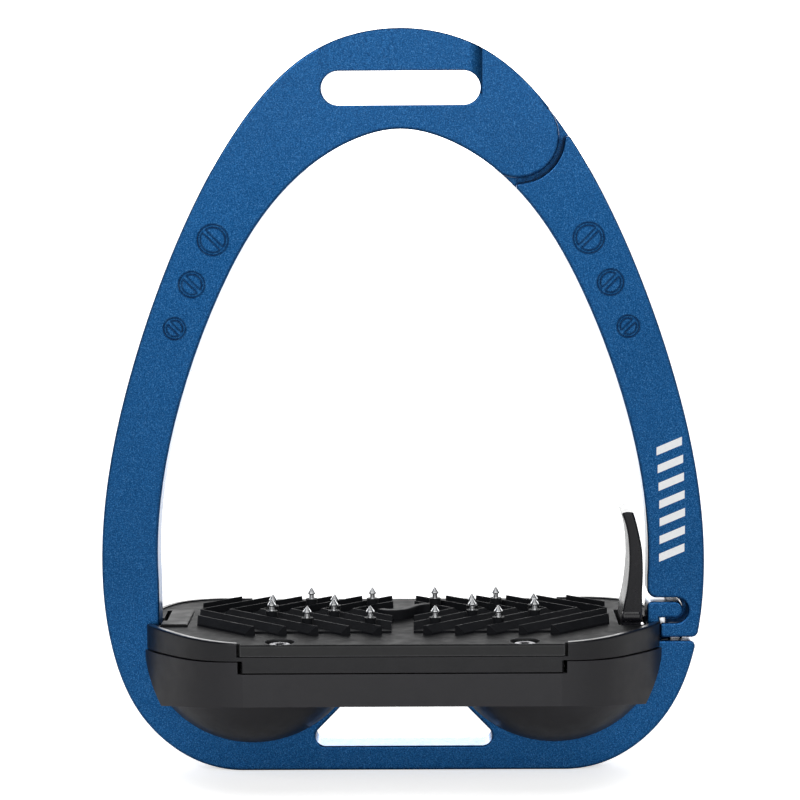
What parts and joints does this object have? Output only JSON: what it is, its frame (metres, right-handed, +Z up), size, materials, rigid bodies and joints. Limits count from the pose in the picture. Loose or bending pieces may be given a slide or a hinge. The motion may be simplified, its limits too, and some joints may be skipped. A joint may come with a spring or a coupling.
{
  "type": "safety stirrup iron",
  "caption": "Safety stirrup iron: arched frame with leather slot, hinged release arm, release lever and studded black footbed.",
  "frame": {"origin": "centre of the flat under the bottom bar, on the middle plane of the frame plate", "axes": "+Z up towards the leather slot, +X towards the release arm and lever, -Y towards the front (studs face up)"},
  "size_m": [0.1484, 0.0606, 0.1828],
  "materials": {
    "blue_anodised": "bead-blasted and anodised satin blue",
    "black_nylon": "fine moulded texture, matt black",
    "grey_plate": "matt dark grey moulded plate",
    "rubber": "matt moulded rubber",
    "steel": "turned stainless steel",
    "brass": "machined brass",
    "gloss_black": "glossy black",
    "lever_black": "satin black",
    "washer_polymer": "smooth low friction polymer"
  },
  "bodies": {
    "root": {"frame_body": "blue_anodised", "tread_base": "black_nylon", "tread_carrier": "black_nylon", "tread_plate": "grey_plate", "grip_pad_left": "rubber", "grip_pad_right": "rubber", "grip_link": "rubber", "grip_studs_left": "steel", "grip_studs_right": "steel", "tread_screws": "steel", "tread_inserts": "brass", "bridge_screws": "steel", "blanking_plug": "gloss_black", "lever_pin": "steel", "latch_spring": "steel", "hinge_screw": "steel", "hinge_washer": "washer_polymer"},
    "release_arm": {"release_arm": "blue_anodised", "hinge_bush": "brass"},
    "release_lever": {"release_lever": "lever_black", "latch_hook": "steel", "hook_rivet": "steel", "lever_bush": "brass"}
  },
  "joints": [
    {"name": "arm_hinge", "type": "hinge", "parent": "root", "child": "release_arm", "pos_m": [0.0285, 0, 0.1565], "axis": [0, -1, 0], "range_deg": [0, 45]},
    {"name": "lever_pivot", "type": "hinge", "parent": "root", "child": "release_lever", "pos_m": [0.0556, 0, 0.0295], "axis": [0, 1, 0], "range_deg": [0, 3], "stiffness_Nm_per_rad": 0.6, "deforming": ["latch_spring"]}
  ]
}
